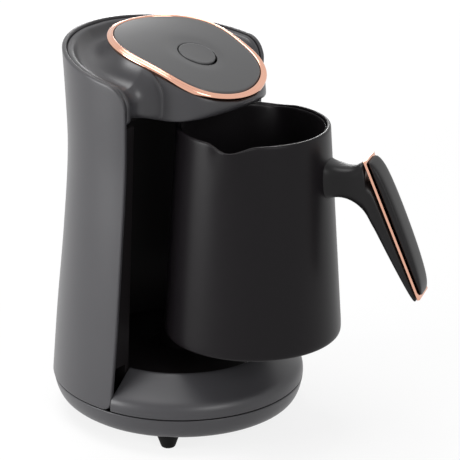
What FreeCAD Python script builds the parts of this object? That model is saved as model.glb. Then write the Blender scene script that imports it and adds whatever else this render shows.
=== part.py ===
import FreeCAD, Part
import math
import os
import Sketcher
from FreeCAD import Placement, Rotation, Vector

# One-cup-at-a-time electric coffee maker: a round two-piece base, a wrap-around rear shell,
# an inner chamber wall, a head with a sloping pear-shaped panel, and a cordless jug.
# Lengths are millimetres, +Z is up, the front faces -Y, and the origin is on the
# standing surface under the middle of the round base.

os.makedirs("parts", exist_ok=True)
doc = FreeCAD.newDocument("CoffeeMaker")

DIMENSIONS = {
    "base_radius": 66,
    "base_rear_depth": 73,
    "base_bottom_radius": 61,
    "base_wall": 2.5,
    "base_underside": 8.2,
    "parting_height": 20.5,
    "ring_side_top": 26,
    "ring_crown_radius": 62,
    "ring_crown_height": 30,
    "ring_inner_radius": 48.8,
    "ring_inner_height": 41.2,
    "ring_cut_front": -5,
    "plate_radius": 48.4,
    "plate_top": 37.5,
    "plate_thickness": 2.4,
    "boss_radius": 12.5,
    "boss_top": 49.5,
    "foot_radius": 6.5,
    "foot_tip_radius": 3.6,
    "foot_circle": 53,
    "shell_wall": 2.4,
    "shell_top_rear": 207.5,
    "shell_top_slope": 9.3,
    "shell_corner_radius": 13,
    "shell_front_top": -11,
    "shell_front_bottom": -3.6,
    "chamber_radius": 49.5,
    "chamber_wall": 2.4,
    "chamber_top": 174.6,
    "ceiling_height": 175,
    "panel_height": 206.3,
    "panel_slope": 0.28,
    "panel_fall": 0.00343,
    "panel_thickness": 2,
    "panel_centre": -11.5,
    "ring_width": 3.6,
    "ring_depth": 4.2,
    "button_radius": 10,
    "button_gap": 0.35,
    "jug_height": 113.5,
    "jug_top_radius": 39.8,
    "jug_bottom_radius": 47,
    "jug_wall": 2,
    "jug_floor": 22,
    "jug_forward": 47.7,
    "jug_lift": 57.7,
    "jug_turn": 19.2,
    "spout_reach": 5.2,
    "handle_width": 17,
    "handle_top_radius": 60.3,
    "handle_top_height": 101.5,
    "handle_tip_radius": 90.6,
    "handle_tip_height": 30,
}

sheet = doc.addObject("Spreadsheet::Sheet", "Dims")
for row, (alias, number) in enumerate(DIMENSIONS.items(), start=1):
    sheet.set(f"A{row}", alias)
    sheet.set(f"B{row}", str(number))
    sheet.setAlias(f"B{row}", alias)
doc.recompute()


class Size:
    """A length together with the expression that binds it to the sheet."""

    def __init__(self, value, text):
        self.value = float(value)
        self.text = text

    def __add__(self, other):
        other = as_size(other)
        return Size(self.value + other.value, f"({self.text} + {other.text})")

    def __sub__(self, other):
        other = as_size(other)
        return Size(self.value - other.value, f"({self.text} - {other.text})")


def as_size(number):
    return number if isinstance(number, Size) else Size(number, str(number))


def dim(alias):
    return Size(sheet.get(alias), f"Dims.{alias}")


def mm(alias):
    return float(sheet.get(alias))


pieces = []


def keep(piece, label):
    """Label a sub-part and put it on the list of pieces to write."""
    piece.Label = label
    pieces.append(piece)
    return piece


# Sketched bodies

def origin_plane(body, role):
    return [feature for feature in body.Origin.OriginFeatures if feature.Role == role][0]


def place_vertex(sketch, geometry, vertex, across, up):
    """Fix one corner of a sketch by two lengths from the sketch's origin."""
    axes = ((across, "DistanceX", -2), (up, "DistanceY", -1))
    for length, kind, axis in axes:
        if abs(length.value) < 1e-9:
            sketch.addConstraint(Sketcher.Constraint("PointOnObject", geometry, vertex, axis))
            continue
        index = sketch.addConstraint(
            Sketcher.Constraint(kind, -1, 1, geometry, vertex, length.value))
        sketch.setExpression(f"Constraints[{index}]", length.text)


def outline_sketch(body, role, corners):
    """A closed polygon sketch whose corners are bound to the sheet."""
    sketch = body.newObject("Sketcher::SketchObject", "Outline")
    sketch.AttachmentSupport = [(origin_plane(body, role), "")]
    sketch.MapMode = "FlatFace"
    corners = [(as_size(across), as_size(up)) for across, up in corners]
    points = [Vector(across.value, up.value, 0) for across, up in corners]
    for index, point in enumerate(points):
        sketch.addGeometry(Part.LineSegment(point, points[(index + 1) % len(points)]), False)
    for index in range(len(points)):
        following = (index + 1) % len(points)
        sketch.addConstraint(Sketcher.Constraint("Coincident", index, 2, following, 1))
    for index, (across, up) in enumerate(corners):
        place_vertex(sketch, index, 1, across, up)
    return sketch


def turned(label, corners):
    """A body of revolution about Z from a profile of radius and height."""
    body = doc.addObject("PartDesign::Body", label)
    sketch = outline_sketch(body, "XZ_Plane", corners)
    turn = body.newObject("PartDesign::Revolution", "Turn")
    turn.Profile = sketch
    turn.ReferenceAxis = (sketch, ["V_Axis"])
    turn.Angle = 360
    doc.recompute()
    return body


def round_edges(body, circles, radius):
    """Fillet the circular edges that lie at the given radii and heights."""
    tip = body.Tip
    names = []
    for index, edge in enumerate(tip.Shape.Edges, start=1):
        if not isinstance(edge.Curve, Part.Circle):
            continue
        for ring, height in circles:
            close = abs(edge.Curve.Radius - ring) < 0.05
            if close and abs(edge.Curve.Center.z - height) < 0.05:
                names.append(f"Edge{index}")
    fillet = body.newObject("PartDesign::Fillet", "Round")
    fillet.Base = (tip, names)
    fillet.Radius = radius
    doc.recompute()
    return fillet


def solid(label, shape):
    """A sub-part whose shape neither a sketch nor a primitive gives."""
    feature = doc.addObject("Part::Feature", label)
    feature.Shape = shape
    return keep(feature, label)


def fused(shapes):
    shape = shapes[0]
    for other in shapes[1:]:
        shape = shape.fuse(other)
    return shape.removeSplitter()


# Plan sections of the casing: a half circle in front and a half ellipse behind

SECTION_POINTS = 24


def plan_wire(half_width, front, rear, height):
    points = []
    for step in range(SECTION_POINTS):
        angle = 2 * math.pi * step / SECTION_POINTS
        depth = rear if math.sin(angle) > 0 else front
        points.append(Vector(half_width * math.cos(angle), depth * math.sin(angle), height))
    curve = Part.BSplineCurve()
    curve.interpolate(Points=points, PeriodicFlag=True)
    return Part.Wire([curve.toShape()])


def plan_loft(sections, inset=0):
    wires = []
    for height, half_width, front, rear in sections:
        wires.append(plan_wire(half_width - inset, front - inset, rear - inset, height))
    return Part.makeLoft(wires, True, False)


SHELL_SECTIONS = [
    (mm("parting_height") + 0.3, 66, 66, 73.6),
    (60, 63, 63, 70),
    (105, 60.6, 60.6, 64),
    (150, 59, 59, 59.6),
    (182, 60, 60, 60),
    (216, 61.6, 61.6, 61.8),
]

SIDE_REACH = 90


def casing_prism(inset, low=0.0):
    """Everything below and behind the casing's edge line, seen from the side."""
    slope = math.tan(math.radians(mm("shell_top_slope")))
    front_low = Vector(0, mm("shell_front_bottom") + inset, mm("parting_height") + low)
    lean = (mm("shell_front_top") - mm("shell_front_bottom")) / 157.0
    top_at_front = mm("shell_top_rear") - slope * (mm("base_radius") - 4) - inset
    run = (top_at_front - front_low.z) / (1 - lean * slope)
    corner = Vector(0, front_low.y + lean * run, front_low.z + run)
    rear_top = Vector(0, 95, top_at_front + slope * 95)
    rear_low = Vector(0, 95, front_low.z)
    radius = max(mm("shell_corner_radius") - inset, 3.5)
    down = (front_low - corner).normalize()
    back = (rear_top - corner).normalize()
    opening = down.getAngle(back)
    reach = radius / math.tan(opening / 2)
    start = corner + down * reach
    end = corner + back * reach
    bisector = (down + back).normalize()
    centre = corner + bisector * (radius / math.sin(opening / 2))
    middle = centre - bisector * radius
    edges = [
        Part.LineSegment(front_low, start).toShape(),
        Part.Arc(start, middle, end).toShape(),
        Part.LineSegment(end, rear_top).toShape(),
        Part.LineSegment(rear_top, rear_low).toShape(),
        Part.LineSegment(rear_low, front_low).toShape(),
    ]
    face = Part.Face(Part.Wire(edges))
    face.translate(Vector(-SIDE_REACH, 0, 0))
    return face.extrude(Vector(2 * SIDE_REACH, 0, 0))


# The head's outline, measured outwards from the button's centre

HEAD_RADII = [46.6, 43.8, 39.0, 33.0, 33.1, 31.8, 30.6]


def head_points(offset):
    """Pear-shaped outline of the panel, from the rear round to the front and back."""
    count = len(HEAD_RADII)
    points = []
    for step in range(2 * count - 2):
        index = step if step < count else 2 * count - 2 - step
        side = 1 if step < count else -1
        angle = math.radians(90 - index * 180 / (count - 1))
        reach = HEAD_RADII[index] + offset
        points.append((side * reach * math.cos(angle), mm("panel_centre") + reach * math.sin(angle)))
    return points


def head_prism(offset, low=160, high=230):
    curve = Part.BSplineCurve()
    corners = [Vector(across, along, low) for across, along in head_points(offset)]
    curve.interpolate(Points=corners, PeriodicFlag=True)
    face = Part.Face(Part.Wire([curve.toShape()]))
    return face.extrude(Vector(0, 0, high - low))


def panel_z(along):
    return mm("panel_height") + mm("panel_slope") * along - mm("panel_fall") * along ** 2


def below_panel(offset):
    """Everything under the panel's curved surface, moved up or down by an offset."""
    near, middle, far = -70, mm("panel_centre"), 60
    low = 150
    arc = Part.Arc(*[Vector(-SIDE_REACH, along, panel_z(along) + offset)
                     for along in (near, middle, far)]).toShape()
    edges = [
        arc,
        Part.LineSegment(arc.Vertexes[-1].Point, Vector(-SIDE_REACH, far, low)).toShape(),
        Part.LineSegment(Vector(-SIDE_REACH, far, low), Vector(-SIDE_REACH, near, low)).toShape(),
        Part.LineSegment(Vector(-SIDE_REACH, near, low), arc.Vertexes[0].Point).toShape(),
    ]
    return Part.Face(Part.Wire(edges)).extrude(Vector(2 * SIDE_REACH, 0, 0))


def below_underside(offset):
    """Everything under the head's belly, which sweeps up towards the front."""
    flat_end, nose, low = -16, -56, 140
    level = mm("ceiling_height") + offset
    start = Vector(-SIDE_REACH, flat_end, level)
    arc = Part.Arc(start, Vector(-SIDE_REACH, -37, level + 2.7),
                   Vector(-SIDE_REACH, nose, level + 10)).toShape()
    corners = [Vector(-SIDE_REACH, nose, low), Vector(-SIDE_REACH, 80, low),
               Vector(-SIDE_REACH, 80, level)]
    edges = [
        arc,
        Part.LineSegment(Vector(-SIDE_REACH, nose, level + 10), corners[0]).toShape(),
        Part.LineSegment(corners[0], corners[1]).toShape(),
        Part.LineSegment(corners[1], corners[2]).toShape(),
        Part.LineSegment(corners[2], start).toShape(),
    ]
    return Part.Face(Part.Wire(edges)).extrude(Vector(2 * SIDE_REACH, 0, 0))


def box(low, high):
    size = [high[axis] - low[axis] for axis in range(3)]
    return Part.makeBox(*size, Vector(*low))


def cylinder(radius, height, centre, axis=Vector(0, 0, 1)):
    return Part.makeCylinder(radius, height, Vector(*centre), axis)


def ring_of(shape, count, radius, height, first_angle=0.0):
    """Copies of a shape, set round a circle, as one group of separate solids."""
    copies = []
    for index in range(count):
        angle = first_angle + index * 360.0 / count
        copy = shape.copy()
        spot = Vector(radius * math.cos(math.radians(angle)),
                      radius * math.sin(math.radians(angle)), height)
        copy.Placement = Placement(spot, Rotation(Vector(0, 0, 1), angle))
        copies.append(copy)
    return Part.makeCompound(copies)


# Base: lower cover, feet, upper ring, docking plate and connector

underside = mm("base_underside")
parting = mm("parting_height")
wall = mm("base_wall")
cover_sections = [
    (underside, mm("base_bottom_radius"), mm("base_bottom_radius"), mm("base_rear_depth") - 5),
    (underside + 5, mm("base_radius") - 1.6, mm("base_radius") - 1.6, mm("base_rear_depth") - 1.4),
    (parting, mm("base_radius"), mm("base_radius"), mm("base_rear_depth")),
]
INLET_HEIGHT = 15.6
INLET_RADIUS = 4.0
cover_outer = plan_loft(cover_sections)
cover_hollow = plan_loft(cover_sections, wall).common(
    box((-90, -90, underside + wall), (90, 90, parting + 1)))
inlet_hole = cylinder(INLET_RADIUS, 12, (0, 64, INLET_HEIGHT), Vector(0, 1, 0))
CASE_SCREW_CIRCLE = 42.0
CASE_SCREW_ANGLES = (60, 120, 240, 300)
CASE_SCREW_RADIUS = 1.5
CASE_SCREW_REACH = 11.0
CASE_HEAD_RADIUS = 2.9
CASE_HEAD_HEIGHT = 1.6
case_spots = [(CASE_SCREW_CIRCLE * math.cos(math.radians(angle)),
               CASE_SCREW_CIRCLE * math.sin(math.radians(angle))) for angle in CASE_SCREW_ANGLES]
lower_cover = cover_outer.cut(cover_hollow).cut(inlet_hole)
for across, along in case_spots:
    lower_cover = lower_cover.cut(
        cylinder(CASE_SCREW_RADIUS + 0.1, wall + 2, (across, along, underside - 1)))
solid("base_lower_cover", lower_cover)

case_screws = []
for across, along in case_spots:
    case_screws.append(fused([
        cylinder(CASE_HEAD_RADIUS, CASE_HEAD_HEIGHT, (across, along, underside - CASE_HEAD_HEIGHT)),
        cylinder(CASE_SCREW_RADIUS, CASE_SCREW_REACH, (across, along, underside)),
    ]))
solid("case_screws", Part.makeCompound(case_screws))

BUSH_BORE = 3.0
BUSH_REAR = 73.0
BUSH_FLANGE_START = 65.6
BUSH_FLANGE = 1.2
inlet_bush = fused([
    cylinder(INLET_RADIUS - 0.1, BUSH_REAR - BUSH_FLANGE_START,
             (0, BUSH_FLANGE_START, INLET_HEIGHT), Vector(0, 1, 0)),
    cylinder(INLET_RADIUS + 0.8, BUSH_FLANGE, (0, BUSH_FLANGE_START, INLET_HEIGHT), Vector(0, 1, 0)),
])
solid("cord_inlet_bush", inlet_bush.cut(
    cylinder(BUSH_BORE, 20, (0, 60, INLET_HEIGHT), Vector(0, 1, 0))))

FOOT_FIRST_ANGLE = 90
foot = Part.makeCone(mm("foot_tip_radius"), mm("foot_radius"), underside)
foot = foot.makeFillet(1.4, [edge for edge in foot.Edges
                             if isinstance(edge.Curve, Part.Circle) and edge.Curve.Center.z < 0.1])
solid("rubber_feet", ring_of(foot, 3, mm("foot_circle"), 0, FOOT_FIRST_ANGLE))

skirt = dim("ring_inner_radius")
ring_body = turned("full_ring", [
    (dim("base_radius"), dim("parting_height") + 0.15),
    (dim("base_radius"), dim("ring_side_top")),
    (dim("ring_crown_radius"), dim("ring_crown_height")),
    (skirt, dim("ring_inner_height")),
    (skirt, dim("plate_top") - dim("plate_thickness")),
    (skirt + 2, dim("plate_top") - dim("plate_thickness")),
    (skirt + 2, dim("ring_inner_height") - 4.4),
    (dim("ring_crown_radius") - 1.2, dim("ring_crown_height") - 3),
    (dim("base_radius") - 2.5, dim("ring_side_top") - 1.4),
    (dim("base_radius") - 2.5, dim("parting_height") + 0.15),
])
round_edges(ring_body, [
    (mm("ring_crown_radius"), mm("ring_crown_height")),
    (mm("base_radius"), mm("ring_side_top")),
    (mm("ring_inner_radius"), mm("ring_inner_height")),
], 1.2)
behind = doc.addObject("Part::Box", "BehindTheEdge")
behind.Length = 200
behind.Width = 100
behind.Height = 60
behind.setExpression("Placement.Base.x", "-100")
behind.setExpression("Placement.Base.y", "Dims.ring_cut_front")
ring_cut = doc.addObject("Part::Cut", "RingFront")
ring_cut.Base = ring_body
ring_cut.Tool = behind
keep(ring_cut, "base_upper_ring")

plate_low = dim("plate_top") - dim("plate_thickness")
plate_body = turned("turned_plate", [
    (dim("boss_radius") + 0.3, dim("plate_top") + 0.6),
    (dim("boss_radius") + 4, dim("plate_top") + 0.6),
    (dim("boss_radius") + 6, dim("plate_top")),
    (dim("plate_radius"), dim("plate_top")),
    (dim("plate_radius"), dim("plate_top") - 8),
    (dim("plate_radius") - 2, dim("plate_top") - 8),
    (dim("plate_radius") - 2, plate_low),
    (dim("boss_radius") + 0.3, plate_low),
])
plate_posts = []
for across, along in case_spots:
    post = doc.addObject("Part::Cylinder", "PlatePost")
    post.Radius = CASE_SCREW_RADIUS + 2
    post.Placement = Placement(Vector(across, along, underside + wall + 0.1), Rotation())
    post.setExpression("Height", f"{plate_low.text} - {underside + wall - 0.4}")
    bore = doc.addObject("Part::Cylinder", "PlatePostBore")
    bore.Radius = CASE_SCREW_RADIUS + 0.05
    bore.Height = CASE_SCREW_REACH
    bore.Placement = post.Placement
    drilled = doc.addObject("Part::Cut", "DrilledPost")
    drilled.Base = post
    drilled.Tool = bore
    plate_posts.append(drilled)
docking_plate = doc.addObject("Part::MultiFuse", "DockingPlate")
docking_plate.Shapes = [plate_body, *plate_posts]
keep(docking_plate, "docking_plate")

boss_body = turned("base_connector", [
    (0, dim("boss_top")),
    (dim("boss_radius") - 2.5, dim("boss_top")),
    (dim("boss_radius"), dim("boss_top") - 2.5),
    (dim("boss_radius"), dim("plate_top") - 6),
    (dim("boss_radius") + 4, dim("plate_top") - 6),
    (dim("boss_radius") + 4, dim("plate_top") - 9),
    (0, dim("plate_top") - 9),
])
keep(boss_body, "base_connector")

CONTACT_HEIGHT = 0.8
contacts = [cylinder(1.6, CONTACT_HEIGHT, (0, 0, mm("boss_top") + 0.02))]
for contact_radius in (5.6, 9.6):
    washer = cylinder(contact_radius, CONTACT_HEIGHT, (0, 0, mm("boss_top") + 0.02))
    contacts.append(washer.cut(cylinder(contact_radius - 1.2, 2, (0, 0, mm("boss_top") - 0.5))))
solid("connector_contacts", Part.makeCompound(contacts))

# Power electronics inside the base

BOARD_HEIGHT = 16.0
BOARD_THICKNESS = 1.6
board = box((-32, -30, BOARD_HEIGHT), (32, 26, BOARD_HEIGHT + BOARD_THICKNESS))
board_holes = [(-28, -26), (28, -26), (-28, 22), (28, 22)]
for across, along in board_holes:
    board = board.cut(cylinder(1.7, 6, (across, along, BOARD_HEIGHT - 2)))
solid("power_board", board)

POST_RADIUS = 3.4
post_bottom = underside + wall
posts = []
screws = []
for across, along in board_holes:
    post = cylinder(POST_RADIUS, BOARD_HEIGHT - post_bottom, (across, along, post_bottom))
    posts.append(post.cut(cylinder(1.3, 20, (across, along, post_bottom + 1))))
    shank = cylinder(1.25, BOARD_HEIGHT + BOARD_THICKNESS - post_bottom - 1.5,
                     (across, along, post_bottom + 1.5))
    head = cylinder(2.8, 1.8, (across, along, BOARD_HEIGHT + BOARD_THICKNESS))
    screws.append(fused([shank, head]))
solid("board_posts", Part.makeCompound(posts))
solid("board_screws", Part.makeCompound(screws))

board_top = BOARD_HEIGHT + BOARD_THICKNESS
solid("relay", box((-26, -22, board_top), (-11, -2, board_top + 10)))
solid("filter_capacitor", box((10, -24, board_top), (24.5, -8, board_top + 9)))
solid("mains_fuse", cylinder(2.6, 18, (4, -24, board_top + 2.7), Vector(0, 1, 0)))
solid("terminal_block", box((-12, 10, board_top), (12, 21, board_top + 8)))

# Casing: rear shell, chamber wall, edge seal

shell_outer = plan_loft(SHELL_SECTIONS)
shell_inner = plan_loft(SHELL_SECTIONS, mm("shell_wall"))
shell = shell_outer.cut(shell_inner).common(casing_prism(0, 0.3))
solid("outer_shell", shell)

SEAL_GAP = 0.15
SEAL_WIDTH = 1.2
EDGE_INSET = 1.6
FLANGE_DEPTH = 2.4
front_strip = casing_prism(EDGE_INSET).cut(casing_prism(EDGE_INSET + FLANGE_DEPTH))
below_ceiling = box((-90, -60, 43), (90, 30, mm("ceiling_height") - 0.4))
seal_outer = plan_loft(SHELL_SECTIONS, mm("shell_wall") + SEAL_GAP)
seal_inner = plan_loft(SHELL_SECTIONS, mm("shell_wall") + SEAL_GAP + SEAL_WIDTH)
seal = seal_outer.cut(seal_inner).common(front_strip).common(below_ceiling)
solid("edge_seal", seal)

chamber_inner = mm("chamber_radius")
chamber_outer = chamber_inner + mm("chamber_wall")


def chamber_prism(radius, low, high):
    """A vertical prism, round behind and straight-sided in front."""
    round_part = cylinder(radius, high - low, (0, 0, low))
    straight = box((-radius, -40, low), (radius, 0, high))
    return round_part.fuse(straight).removeSplitter()


housing_low = parting + 1
housing_prism = chamber_prism(chamber_outer, housing_low, mm("chamber_top"))
housing_core = chamber_prism(chamber_inner, housing_low - 5, mm("chamber_top") + 5)
housing = housing_prism.cut(housing_core).common(casing_prism(EDGE_INSET))
flange_outer = plan_loft(SHELL_SECTIONS, mm("shell_wall") + 2 * SEAL_GAP + SEAL_WIDTH)
flange = flange_outer.common(front_strip).common(below_ceiling)
flange = flange.cut(chamber_prism(chamber_inner + 1, 0, 200))
solid("inner_housing", fused([housing, flange]))

# Head: housing with deck and lip, underside, panel, copper ring

LIP_GAP = 0.4
LIP_WIDTH = 3.4
DECK_DROP = 6.0
DECK_WALL = 2.4
head_zone = box((-90, -60, mm("ceiling_height")), (90, 90, 240))
lip_outer = plan_loft(SHELL_SECTIONS, mm("shell_wall") + LIP_GAP).common(head_zone)
lip_inner = plan_loft(SHELL_SECTIONS, mm("shell_wall") + LIP_GAP + LIP_WIDTH)
lip = lip_outer.common(casing_prism(0.6)).cut(lip_inner).cut(casing_prism(DECK_DROP + DECK_WALL))
deck = lip_outer.common(casing_prism(DECK_DROP)).cut(casing_prism(DECK_DROP + DECK_WALL))
HEAD_WALL = 2.4
LEAD_RADIUS = 1.1
LEAD_ACROSS = 6.0
lead_path = [Vector(LEAD_ACROSS, along, height) for along, height in
             [(21.5, 19.6), (57.8, 19.6), (54.8, 60), (54.8, 184), (12, 181.4)]]
lead_notch = Part.makeCylinder(
    LEAD_RADIUS + 0.4, 30, lead_path[3], lead_path[4] - lead_path[3])
boss_top_cut = below_panel(-1.0)
belly = below_underside(0)
head_outer = head_prism(mm("ring_width") - 0.4).common(boss_top_cut).cut(belly)
head_hollow = head_prism(mm("ring_width") - 0.4 - HEAD_WALL)
rear_ceiling_room = cylinder(chamber_inner, 2.6, (0, 0, mm("ceiling_height") - 0.2))
head_housing = fused([lip, deck, head_outer]).cut(head_hollow).cut(lead_notch)
head_housing = head_housing.cut(rear_ceiling_room.common(box((-60, -3.3, 0), (60, 60, 300))))
solid("head_housing", head_housing)

ceiling_plan = head_prism(mm("ring_width") - 0.6 - HEAD_WALL).common(
    below_underside(2.2)).cut(belly)
rear_plan = cylinder(chamber_inner - 0.3, 2.2, (0, 0, mm("ceiling_height") - 2.4)).common(
    box((-60, -3, 0), (60, 60, 300)))
SENSOR_SPOT = (0, 4)
WINDOW_RADIUS = 7.0
sensor_hole = cylinder(WINDOW_RADIUS, 20, (*SENSOR_SPOT, mm("ceiling_height") - 8))
rear_plan.translate(Vector(0, 0, 2.3))
solid("head_underside", fused([ceiling_plan, rear_plan]).cut(sensor_hole))

button_pose = Placement(
    Vector(0, mm("panel_centre"), panel_z(mm("panel_centre"))),
    Rotation(Vector(1, 0, 0), math.degrees(math.atan(
        mm("panel_slope") - 2 * mm("panel_fall") * mm("panel_centre")))))
button_hole = cylinder(mm("button_radius") + mm("button_gap"), 30, (0, 0, -15))
button_hole.Placement = button_pose
panel = head_prism(-0.15).common(below_panel(0)).cut(below_panel(-mm("panel_thickness")))
solid("control_panel", panel.cut(button_hole))

copper = head_prism(mm("ring_width")).cut(head_prism(0)).common(below_panel(0.9))
copper = copper.cut(below_panel(0.9 - mm("ring_depth")))
copper = copper.cut(head_prism(mm("ring_width") - 0.2).cut(
    head_prism(mm("ring_width") - 0.6 - HEAD_WALL)).common(below_panel(-0.95)))
solid("copper_ring", copper)

# Start button, its switch and the control board, in the button's own frame

button_body = turned("start_button", [
    (0, 0.2),
    (dim("button_radius") - 1.2, 0.2),
    (dim("button_radius"), -0.6),
    (dim("button_radius"), -3),
    (3, -3),
    (3, -7),
    (0, -7),
])
button_body.Placement = button_pose
keep(button_body, "start_button")


def on_button(shape):
    """Move a shape from the button's frame to the object's."""
    placed = shape.copy()
    placed.Placement = button_pose.multiply(shape.Placement)
    return placed


SWITCH_TOP = -9.2
SWITCH_SIDE = 6.0
BOARD_TOP = -13.0
solid("switch_plunger", on_button(cylinder(1.7, 3.0, (0, 0, -10.0))))
switch = box((-SWITCH_SIDE / 2, -SWITCH_SIDE / 2, BOARD_TOP),
             (SWITCH_SIDE / 2, SWITCH_SIDE / 2, SWITCH_TOP))
solid("tact_switch", on_button(switch.cut(cylinder(1.75, 5, (0, 0, -11.2)))))
control_board = box((-20, -18, BOARD_TOP - 1.6), (20, 24, BOARD_TOP))
solid("control_board", on_button(control_board))
guide = cylinder(8.6, 3.2, (0, 0, -8.4)).cut(cylinder(7.2, 9, (0, 0, -12)))
solid("light_guide", on_button(guide))
leds = [box((across - 1, -1.5, BOARD_TOP), (across + 1, 1.5, BOARD_TOP + 1.6)) for across in (-8, 8)]
solid("indicator_leds", on_button(Part.makeCompound(leds)))
solid("buzzer", on_button(cylinder(6, 5, (0, 15, BOARD_TOP))))

# Boil sensor over the jug

sensor_low = mm("ceiling_height") - 0.6
lens = fused([
    cylinder(WINDOW_RADIUS - 0.15, 3.2, (*SENSOR_SPOT, sensor_low)),
    cylinder(WINDOW_RADIUS + 1.5, 1, (*SENSOR_SPOT, mm("ceiling_height") + 2.6)),
])
solid("sensor_lens", lens)
solid("sensor_board", box((-9, -6, mm("ceiling_height") + 3.8), (9, 14, mm("ceiling_height") + 5.2)))

# Harness from the terminal block, under the chamber wall and up the rear gap to the head

harness = []
for start, end in zip(lead_path, lead_path[1:]):
    harness.append(Part.makeCylinder(LEAD_RADIUS, (end - start).Length, start, end - start))
for corner in lead_path[1:-1]:
    harness.append(Part.makeSphere(LEAD_RADIUS, corner))
solid("wiring_harness", fused(harness))

# Jug, modelled upright about its own axis with its handle towards -Y

jug_height = mm("jug_height")


def jug_radius(height, inset=0.0):
    share = height / jug_height
    return mm("jug_bottom_radius") + share * (mm("jug_top_radius") - mm("jug_bottom_radius")) - inset


SPOUT_LOW = 84.0
SPOUT_SPREAD = 21.0


def spout_nose(side, inset, low, top):
    """The pouring lip: a wedge that grows out of the wall towards the rim."""
    wires = []
    for height, grow in ((low, 0.0), (top, 1.0)):
        radius = jug_radius(min(height, jug_height), inset)
        spread = math.radians(SPOUT_SPREAD * (0.25 + 0.75 * grow))
        root = radius * math.cos(spread)
        half = radius * math.sin(spread)
        reach = radius + grow * mm("spout_reach")
        shoulder = root + 0.72 * (reach - root)
        corners = [
            Vector(side * root, -half, height),
            Vector(side * shoulder, -0.3 * half, height),
            Vector(side * (reach + 0.01), 0, height),
            Vector(side * shoulder, 0.3 * half, height),
            Vector(side * root, half, height),
            Vector(side * 0.5 * radius, 0, height),
        ]
        wires.append(Part.makePolygon(corners + [corners[0]]))
    return Part.makeLoft(wires, True, True)


def jug_parts(inset, low, high, bottom_round=0.0):
    """The jug's tapered cone and its two spouts, moved inwards by an inset."""
    cone = Part.makeCone(jug_radius(low, inset), jug_radius(high, inset), high - low, Vector(0, 0, low))
    if bottom_round:
        bottom = [edge for edge in cone.Edges
                  if isinstance(edge.Curve, Part.Circle) and abs(edge.Curve.Center.z - low) < 0.1]
        cone = cone.makeFillet(bottom_round, bottom)
    nose_low = SPOUT_LOW + 1.25 * inset
    return [cone, spout_nose(1, inset, nose_low, high), spout_nose(-1, inset, nose_low, high)]


jug_pose = Placement(
    Vector(0, -mm("jug_forward"), mm("jug_lift")), Rotation(Vector(0, 0, 1), mm("jug_turn")))


def on_jug(shape):
    placed = shape.copy()
    placed.Placement = jug_pose.multiply(shape.Placement)
    return placed


jug_wall = mm("jug_wall")
POT_GAP = 0.25
POT_WALL = 0.9
JUG_BOTTOM_ROUND = 2.6
jacket = fused(jug_parts(0, 0, jug_height, JUG_BOTTOM_ROUND))
for hollow in jug_parts(jug_wall, -1, jug_height + 1):
    jacket = jacket.cut(hollow)
solid("jug_jacket", on_jug(jacket))

floor_height = mm("jug_floor")
pot = fused(jug_parts(jug_wall + POT_GAP, floor_height, jug_height - 0.8))
for hollow in jug_parts(jug_wall + POT_GAP + POT_WALL, floor_height + POT_WALL, jug_height + 2):
    pot = pot.cut(hollow)
solid("jug_inner_pot", on_jug(pot))

SOCKET_BORE = 13.6
SOCKET_WALL = 2.2
SOCKET_DEPTH = 12.8
under_radius = jug_radius(3, jug_wall + 0.2)
under_cover = Part.makeCone(jug_radius(0.6, jug_wall + 0.9), under_radius - 0.2, 2.4, Vector(0, 0, 0.6))
solid("jug_base_cover", on_jug(under_cover.cut(
    cylinder(SOCKET_BORE + SOCKET_WALL + 0.2, 6, (0, 0, -1)))))

socket = cylinder(SOCKET_BORE + SOCKET_WALL, SOCKET_DEPTH + 1.6, (0, 0, 0.6))
socket = socket.cut(cylinder(SOCKET_BORE, SOCKET_DEPTH - 0.6, (0, 0, 0.6)))
socket = socket.fuse(cylinder(SOCKET_BORE + SOCKET_WALL + 4, 1.6, (0, 0, 3.2)).cut(
    cylinder(SOCKET_BORE + 0.5, 9, (0, 0, 0)))).removeSplitter()
solid("jug_socket", on_jug(socket))

plate_low_local = floor_height - 2.6
solid("heater_plate", on_jug(cylinder(38, 2.4, (0, 0, plate_low_local))))
ELEMENT_RADIUS = 27.0
ELEMENT_TUBE = 3.1
element = Part.makeTorus(ELEMENT_RADIUS, ELEMENT_TUBE, Vector(0, 0, plate_low_local - ELEMENT_TUBE - 0.1),
                         Vector(0, 0, 1), -180, 180, 320)
solid("heating_element", on_jug(element))
solid("thermostat", on_jug(cylinder(7.5, plate_low_local - 16.0, (0, 0, 15.8))))
clip = cylinder(2.2, 12, (0, -34.6, plate_low_local - 2.4), Vector(1, 0, 0))
solid("thermal_fuse", on_jug(clip.translated(Vector(-6, 0, 0))))

# Handle: neck and inner grip, copper band, outer grip, two screws

handle_top = Vector(0, -mm("handle_top_radius"), mm("handle_top_height"))
handle_tip = Vector(0, -mm("handle_tip_radius"), mm("handle_tip_height"))
along = (handle_tip - handle_top).normalize()
outward = Vector(0, along.z, -along.y)
grip_length = (handle_tip - handle_top).Length
half_handle = mm("handle_width") / 2


def grip_point(run, out):
    return handle_top + along * run + outward * out


def handle_slab(points, half_width):
    """A plate cut to an outline in the handle's plane, centred on it."""
    corners = [Vector(-half_width, point.y, point.z) for point in points]
    face = Part.Face(Part.makePolygon(corners + [corners[0]]))
    return face.extrude(Vector(2 * half_width, 0, 0))


def local(radius, height):
    return Vector(0, -radius, height)


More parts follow.
